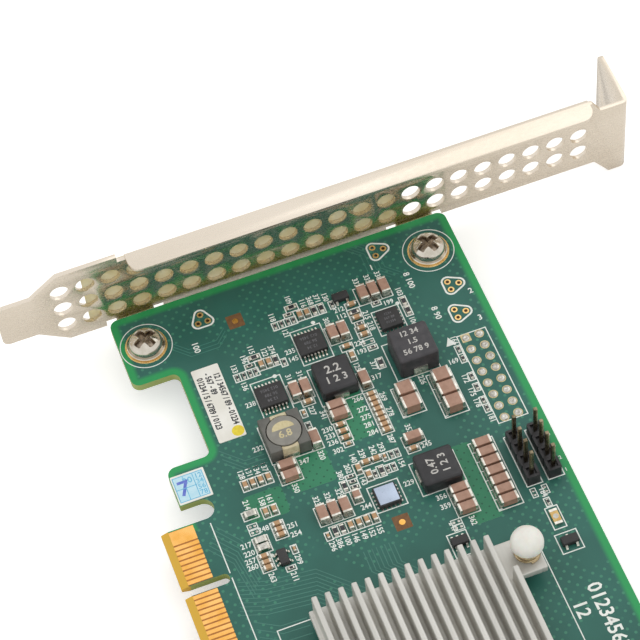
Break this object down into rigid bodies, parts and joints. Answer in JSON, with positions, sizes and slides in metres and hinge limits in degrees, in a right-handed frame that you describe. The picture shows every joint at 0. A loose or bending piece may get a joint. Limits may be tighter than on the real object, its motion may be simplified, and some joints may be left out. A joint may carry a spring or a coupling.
{
  "type": "raid controller card",
  "caption": "Low-profile server storage controller card with a finned heatsink, power chokes, pin headers, slot contacts and a full-height vented bracket.",
  "frame": {"origin": "the slot datum: centre line of the key notch, on the slot contact edge, at the component face of the board", "axes": "+X along the card away from the bracket, +Y from the slot contacts to the card's top edge, +Z out of the component face"},
  "size_m": [0.182, 0.12, 0.0224],
  "materials": {
    "printed_label_paper": "white label stock",
    "nickel_plated_steel": "nickel-plated cold-rolled steel sheet",
    "protective_film": "thin cream adhesive film",
    "nickel_plated_screw": "bright nickel-plated steel",
    "tan_ceramic": "tan multilayer ceramic",
    "hot_air_solder": "levelled solder",
    "black_glazed_resistor": "black glaze over alumina",
    "bright_tin_plate": "bright tin plating",
    "solder_masked_fr4": "satin green solder mask over FR-4 laminate with copper pours",
    "gold_contact": "hard gold plating on the slot contacts",
    "epoxy_mould_compound": "black epoxy moulding compound",
    "bga_substrate": "laminate package substrate",
    "brushed_nickel_lid": "nickel-plated copper lid",
    "grey_ferrite": "ground ferrite",
    "cream_epoxy": "cream potting epoxy",
    "bare_copper_gold_flash": "gold-flashed copper rings",
    "extruded_aluminium": "clear-anodised extruded aluminium",
    "white_nylon": "injection-moulded natural nylon",
    "spring_steel": "brass-toned spring wire",
    "led_epoxy": "clear-to-milky epoxy",
    "pressed_iron_powder": "pressed iron powder, dark grey",
    "black_polyester": "black glass-filled polyester",
    "stamped_stainless": "stamped stainless sheet",
    "thermal_interface": "grey thermal interface pad"
  },
  "bodies": {
    "root": {"asset_label": "printed_label_paper", "bracket": "nickel_plated_steel", "bracket_film": "protective_film", "bracket_screws": "nickel_plated_screw", "bulk_capacitors": "tan_ceramic", "chip_capacitors": "tan_ceramic", "chip_fuses": "hot_air_solder", "chip_resistors": "black_glazed_resistor", "choke_clips": "bright_tin_plate", "circuit_board": "solder_masked_fr4", "component_side_contacts": "gold_contact", "controller_cap": "epoxy_mould_compound", "controller_substrate": "bga_substrate", "crystal": "brushed_nickel_lid", "driver_chips": "epoxy_mould_compound", "driver_leads": "bright_tin_plate", "drum_clips": "bright_tin_plate", "drum_core": "grey_ferrite", "drum_epoxy": "cream_epoxy", "drum_shields": "grey_ferrite", "ground_pads": "bare_copper_gold_flash", "header_pins": "bright_tin_plate", "heatsink": "extruded_aluminium", "heatsink_pins": "white_nylon", "heatsink_springs": "spring_steel", "indicator_lamp": "led_epoxy", "inspection_label": "printed_label_paper", "lamp_ends": "bright_tin_plate", "memory_chip": "epoxy_mould_compound", "memory_leads": "bright_tin_plate", "moulded_chokes": "pressed_iron_powder", "pin_headers": "black_polyester", "port_cages": "stamped_stainless", "port_housings": "black_polyester", "power_stage_lid": "brushed_nickel_lid", "quad_chips": "epoxy_mould_compound", "small_chips": "epoxy_mould_compound", "small_leads": "bright_tin_plate", "solder_side_contacts": "gold_contact", "tall_choke": "pressed_iron_powder", "thermal_pad": "thermal_interface"}
  },
  "joints": []
}
